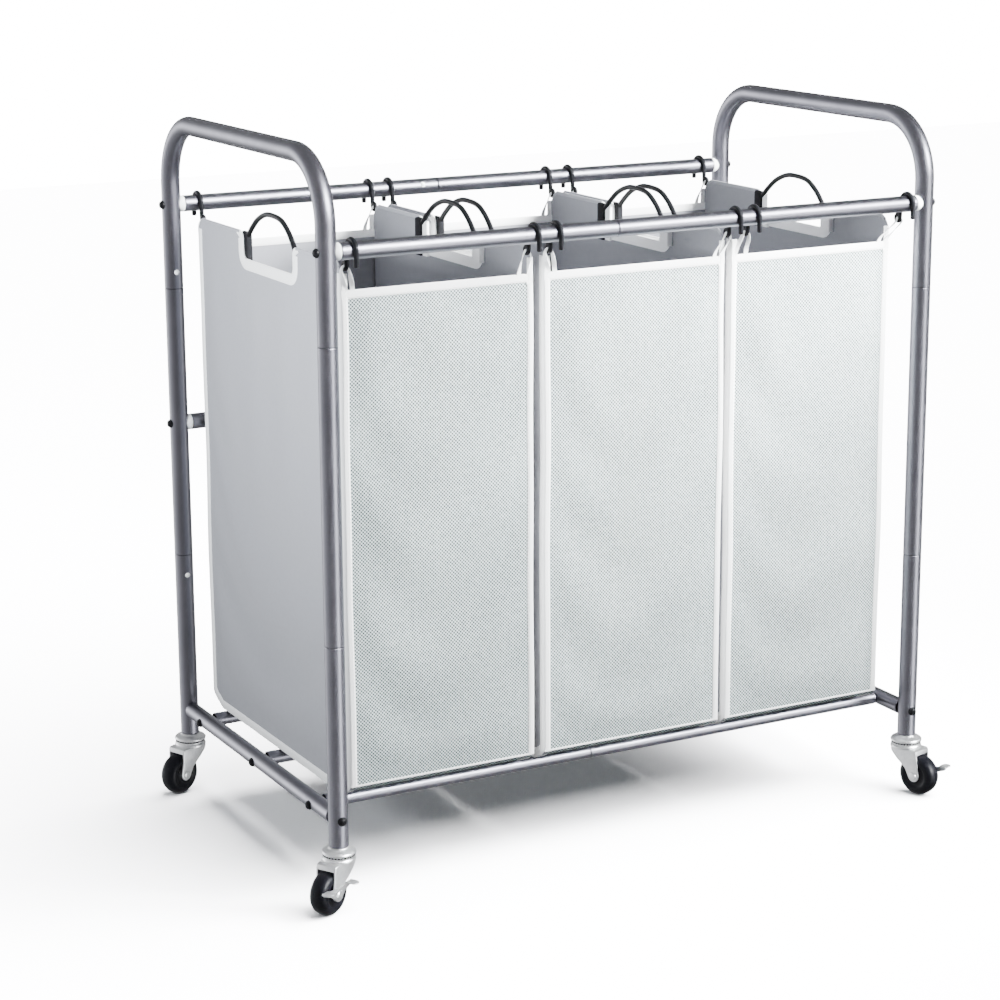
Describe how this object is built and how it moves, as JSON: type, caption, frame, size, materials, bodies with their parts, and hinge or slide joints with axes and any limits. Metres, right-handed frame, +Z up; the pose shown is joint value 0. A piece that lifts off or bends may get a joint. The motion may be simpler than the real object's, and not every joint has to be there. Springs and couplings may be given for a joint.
{
  "type": "laundry cart",
  "caption": "Rolling laundry sorter: tubular steel frame with push handles, casters and hook-on fabric bags side by side.",
  "frame": {"origin": "on the floor, midway between the four posts", "axes": "+X along the cart to its right end, +Y from the front to the rear, +Z up"},
  "size_m": [0.8498, 0.5199, 0.8325],
  "materials": {
    "frame_paint": "satin metallic grey paint on steel tube",
    "zinc_plate": "bright zinc plated pressed steel",
    "black_wheel": "smooth black plastic",
    "black_wire": "black coated wire",
    "bag_fabric": "light grey woven fabric with white bound edges"
  },
  "bodies": {
    "frame": {"handle_tube_left": "frame_paint", "side_tube_left": "frame_paint", "handle_tube_right": "frame_paint", "side_tube_right": "frame_paint", "middle_post_front_left": "frame_paint", "leg_front_left": "frame_paint", "middle_post_front_right": "frame_paint", "leg_front_right": "frame_paint", "middle_post_rear_left": "frame_paint", "leg_rear_left": "frame_paint", "middle_post_rear_right": "frame_paint", "leg_rear_right": "frame_paint", "top_rail_front_left_half": "frame_paint", "top_rail_front_right_half": "frame_paint", "top_rail_rear_left_half": "frame_paint", "top_rail_rear_right_half": "frame_paint", "middle_rail_rear_left_half": "frame_paint", "middle_rail_rear_right_half": "frame_paint", "base_rail_front_left_half": "frame_paint", "base_rail_front_right_half": "frame_paint", "base_rail_middle_left_half": "frame_paint", "base_rail_middle_right_half": "frame_paint", "base_rail_rear_left_half": "frame_paint", "base_rail_rear_right_half": "frame_paint", "caster_stem_front_left": "zinc_plate", "caster_stem_front_right": "zinc_plate", "caster_stem_rear_left": "zinc_plate", "caster_stem_rear_right": "zinc_plate"},
    "swivel_front_left": {"caster_fork_front_left": "zinc_plate"},
    "wheel_front_left": {"caster_wheel_front_left": "black_wheel"},
    "brake_front_left": {"brake_pedal_front_left": "zinc_plate"},
    "swivel_front_right": {"caster_fork_front_right": "zinc_plate"},
    "wheel_front_right": {"caster_wheel_front_right": "black_wheel"},
    "brake_front_right": {"brake_pedal_front_right": "zinc_plate"},
    "swivel_rear_left": {"caster_fork_rear_left": "zinc_plate"},
    "wheel_rear_left": {"caster_wheel_rear_left": "black_wheel"},
    "swivel_rear_right": {"caster_fork_rear_right": "zinc_plate"},
    "wheel_rear_right": {"caster_wheel_rear_right": "black_wheel"},
    "bag_left": {"bag_left": "bag_fabric", "hook_left_bag_front_left": "black_wire", "hook_left_bag_front_right": "black_wire", "hook_left_bag_rear_left": "black_wire", "hook_left_bag_rear_right": "black_wire", "carry_loop_left_bag_left": "black_wire", "carry_loop_left_bag_right": "black_wire"},
    "bag_middle": {"bag_middle": "bag_fabric", "hook_middle_bag_front_left": "black_wire", "hook_middle_bag_front_right": "black_wire", "hook_middle_bag_rear_left": "black_wire", "hook_middle_bag_rear_right": "black_wire", "carry_loop_middle_bag_left": "black_wire", "carry_loop_middle_bag_right": "black_wire"},
    "bag_right": {"bag_right": "bag_fabric", "hook_right_bag_front_left": "black_wire", "hook_right_bag_front_right": "black_wire", "hook_right_bag_rear_left": "black_wire", "hook_right_bag_rear_right": "black_wire", "carry_loop_right_bag_left": "black_wire", "carry_loop_right_bag_right": "black_wire"}
  },
  "joints": [
    {"name": "swivel_front_left", "type": "hinge", "parent": "frame", "child": "swivel_front_left", "pos_m": [-0.3825, -0.2175, 0.06], "axis": [0, 0, 1], "continuous": true},
    {"name": "wheel_spin_front_left", "type": "hinge", "parent": "swivel_front_left", "child": "wheel_front_left", "pos_m": [-0.40088, -0.22765, 0.025], "axis": [0.4833, -0.8755, 0], "continuous": true},
    {"name": "brake_press_front_left", "type": "hinge", "parent": "swivel_front_left", "child": "brake_front_left", "pos_m": [-0.40088, -0.22765, 0.025], "axis": [0.4833, -0.8755, 0], "range_deg": [0, 12]},
    {"name": "swivel_front_right", "type": "hinge", "parent": "frame", "child": "swivel_front_right", "pos_m": [0.3825, -0.2175, 0.06], "axis": [0, 0, 1], "continuous": true},
    {"name": "wheel_spin_front_right", "type": "hinge", "parent": "swivel_front_right", "child": "wheel_front_right", "pos_m": [0.38878, -0.23754, 0.025], "axis": [0.9542, 0.299, 0], "continuous": true},
    {"name": "brake_press_front_right", "type": "hinge", "parent": "swivel_front_right", "child": "brake_front_right", "pos_m": [0.38878, -0.23754, 0.025], "axis": [0.9542, 0.299, 0], "range_deg": [0, 12]},
    {"name": "swivel_rear_left", "type": "hinge", "parent": "frame", "child": "swivel_rear_left", "pos_m": [-0.3825, 0.2175, 0.06], "axis": [0, 0, 1], "continuous": true},
    {"name": "wheel_spin_rear_left", "type": "hinge", "parent": "swivel_rear_left", "child": "wheel_rear_left", "pos_m": [-0.40176, 0.20913, 0.025], "axis": [0.3987, -0.9171, 0], "continuous": true},
    {"name": "swivel_rear_right", "type": "hinge", "parent": "frame", "child": "swivel_rear_right", "pos_m": [0.3825, 0.2175, 0.06], "axis": [0, 0, 1], "continuous": true},
    {"name": "wheel_spin_rear_right", "type": "hinge", "parent": "swivel_rear_right", "child": "wheel_rear_right", "pos_m": [0.39735, 0.23235, 0.025], "axis": [-0.7071, 0.7071, 0], "continuous": true},
    {"name": "bag_lift_left", "type": "slide", "parent": "frame", "child": "bag_left", "axis": [0, 0, 1], "range_m": [0, 0.63]},
    {"name": "bag_lift_middle", "type": "slide", "parent": "frame", "child": "bag_middle", "axis": [0, 0, 1], "range_m": [0, 0.63]},
    {"name": "bag_lift_right", "type": "slide", "parent": "frame", "child": "bag_right", "axis": [0, 0, 1], "range_m": [0, 0.63]}
  ]
}
